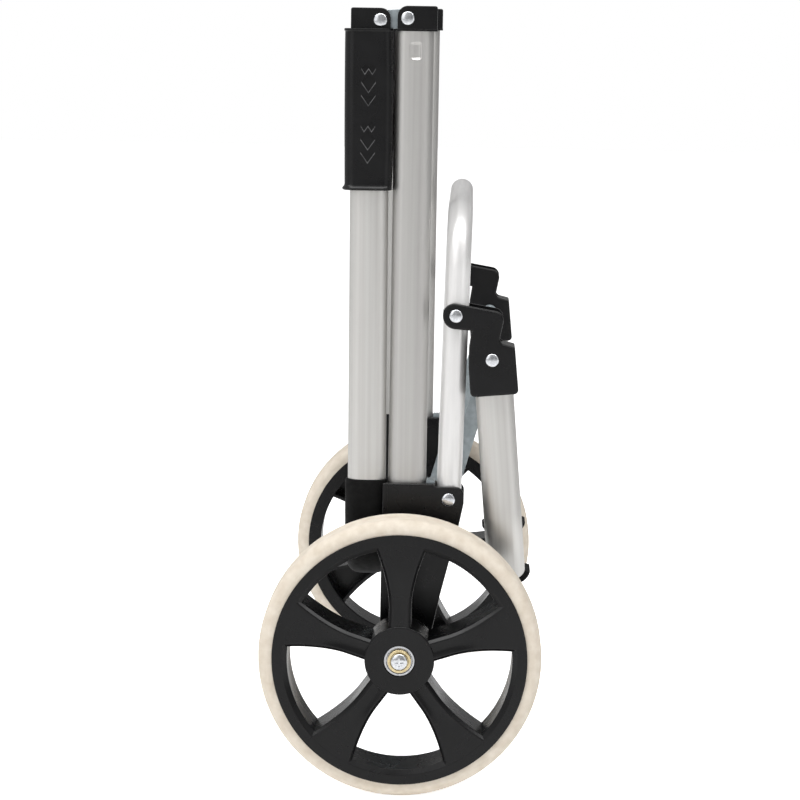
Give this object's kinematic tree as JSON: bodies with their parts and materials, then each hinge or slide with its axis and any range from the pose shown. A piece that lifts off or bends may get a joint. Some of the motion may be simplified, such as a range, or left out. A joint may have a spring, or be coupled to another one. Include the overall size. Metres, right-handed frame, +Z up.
{
  "type": "pet stroller chassis",
  "caption": "Folded two-wheel trolley chassis of a pet stroller: twin oval tubes, fold-over handle, hinged front bow, stand leg and spoked wheels.",
  "frame": {"origin": "on the floor midway between the wheels, straight below the axle", "axes": "+X forward, the side where the front bow and the leg fold out; +Y to the left; +Z up along the main tubes"},
  "size_m": [0.2, 0.4416, 0.5549],
  "materials": {
    "anodised_tube": "satin anodised",
    "bright_tube": "bright drawn",
    "black_plastic": "fine moulded grain",
    "black_grip": "soft foam, matte",
    "foot_rubber": "matte",
    "hub_plastic": "satin moulded",
    "tyre_cream": "matte foam rubber",
    "zinc_steel": "bluish zinc plate",
    "bright_steel": "polished",
    "gold_zinc": "yellow zinc plate"
  },
  "bodies": {
    "chassis": {"main_tube_right": "anodised_tube", "main_tube_left": "anodised_tube", "main_hinge_cap_right": "black_plastic", "main_hinge_cap_left": "black_plastic", "base_bracket_right": "black_plastic", "base_bracket_left": "black_plastic", "socket_clips": "zinc_steel", "upper_cross_rail": "anodised_tube", "lower_cross_rail": "anodised_tube", "axle": "zinc_steel", "axle_spacers": "black_plastic", "axle_washers": "gold_zinc", "axle_screws": "bright_steel", "main_hinge_rivets": "bright_steel", "scoop_pivot_rivets": "bright_steel", "strut_pivot_rivets": "bright_steel"},
    "hinge_links": {"hinge_link_right": "zinc_steel", "hinge_link_left": "zinc_steel"},
    "handle": {"handle_hinge_rivets": "bright_steel", "handle_tube": "anodised_tube", "handle_grip": "black_grip", "handle_hinge_cap_right": "black_plastic", "handle_hinge_cap_left": "black_plastic"},
    "sleeve_right": {"lock_sleeve_right": "black_plastic"},
    "sleeve_left": {"lock_sleeve_left": "black_plastic"},
    "scoop": {"scoop_tube": "bright_tube", "knee_rivets": "bright_steel"},
    "leg": {"leg_tube": "anodised_tube", "knee_bracket_right": "black_plastic", "knee_bracket_left": "black_plastic", "leg_strut_rivets": "bright_steel", "leg_foot_right": "foot_rubber", "leg_foot_left": "foot_rubber"},
    "strut_right_arm": {"strut_right": "zinc_steel"},
    "strut_left_arm": {"strut_left": "zinc_steel"},
    "wheel_right": {"wheel_rim_right": "hub_plastic", "wheel_spokes_right": "hub_plastic", "wheel_boss_right": "hub_plastic", "tyre_right": "tyre_cream", "bearings_right": "bright_steel"},
    "wheel_left": {"wheel_rim_left": "hub_plastic", "wheel_spokes_left": "hub_plastic", "wheel_boss_left": "hub_plastic", "tyre_left": "tyre_cream", "bearings_left": "bright_steel"}
  },
  "joints": [
    {"name": "wheel_right_spin", "type": "hinge", "parent": "chassis", "child": "wheel_right", "pos_m": [0, -0.198, 0.1], "axis": [0, 1, 0], "continuous": true},
    {"name": "wheel_left_spin", "type": "hinge", "parent": "chassis", "child": "wheel_left", "pos_m": [0, 0.198, 0.1], "axis": [0, 1, 0], "continuous": true},
    {"name": "link_fold", "type": "hinge", "parent": "chassis", "child": "hinge_links", "pos_m": [-0.0029, 0, 0.5463], "axis": [0, 1, 0], "range_deg": [0, 94.8]},
    {"name": "handle_fold", "type": "hinge", "parent": "hinge_links", "child": "handle", "pos_m": [-0.022, 0, 0.5447], "axis": [0, 1, 0], "range_deg": [0, 85.21]},
    {"name": "sleeve_right_slide", "type": "slide", "parent": "handle", "child": "sleeve_right", "axis": [-0.0052, 0, 1], "range_m": [0, 0.033]},
    {"name": "sleeve_left_slide", "type": "slide", "parent": "handle", "child": "sleeve_left", "axis": [-0.0052, 0, 1], "range_m": [0, 0.033]},
    {"name": "scoop_fold", "type": "hinge", "parent": "chassis", "child": "scoop", "pos_m": [0.032, 0, 0.2056], "axis": [0, 1, 0], "range_deg": [0, 90]},
    {"name": "leg_fold", "type": "hinge", "parent": "scoop", "child": "leg", "pos_m": [0.03489, 0, 0.3382], "axis": [0, 1, 0], "range_deg": [-102.4, 0]},
    {"name": "strut_right_fold", "type": "hinge", "parent": "chassis", "child": "strut_right_arm", "pos_m": [0.005, -0.1356, 0.1121], "axis": [0, 1, 0], "range_deg": [0, 55.2]},
    {"name": "strut_left_fold", "type": "hinge", "parent": "chassis", "child": "strut_left_arm", "pos_m": [0.005, 0.1356, 0.1121], "axis": [0, 1, 0], "range_deg": [0, 55.2]}
  ],
  "couplings": [
    {"joint": "link_fold", "follows": "handle_fold", "ratio": 1.1124},
    {"joint": "leg_fold", "follows": "scoop_fold", "ratio": -1.1375},
    {"joint": "strut_right_fold", "follows": "scoop_fold", "ratio": 0.61095},
    {"joint": "strut_left_fold", "follows": "scoop_fold", "ratio": 0.61095}
  ]
}
